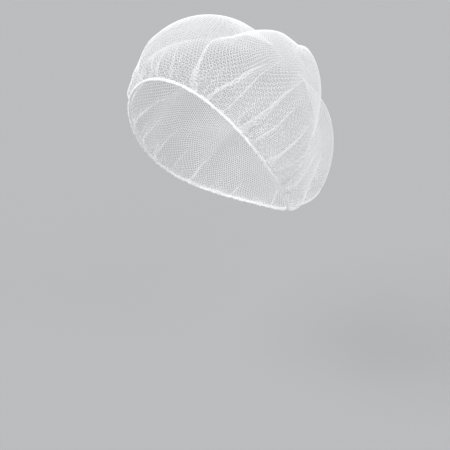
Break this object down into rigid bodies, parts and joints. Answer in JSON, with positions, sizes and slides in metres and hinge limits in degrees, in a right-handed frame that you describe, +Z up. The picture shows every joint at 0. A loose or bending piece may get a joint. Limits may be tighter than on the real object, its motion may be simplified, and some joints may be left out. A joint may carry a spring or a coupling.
{
  "type": "hairnet",
  "caption": "Puffed white nylon hairnet with lobes and gathers, drawn in by a narrow elastic loop, shown in the shape it takes on a head to hold hair back.",
  "frame": {"origin": "middle of the elastic loop, where the head enters", "axes": "+Z up, brow towards -Y, wearer's left towards +X; the loop is tilted 51 degrees, brow end up"},
  "size_m": [0.1979, 0.2087, 0.2056],
  "materials": {
    "net": "fine white nylon net",
    "elastic": "white covered elastic"
  },
  "bodies": {
    "root": {"net": "net", "elastic_band": "elastic"}
  },
  "joints": []
}
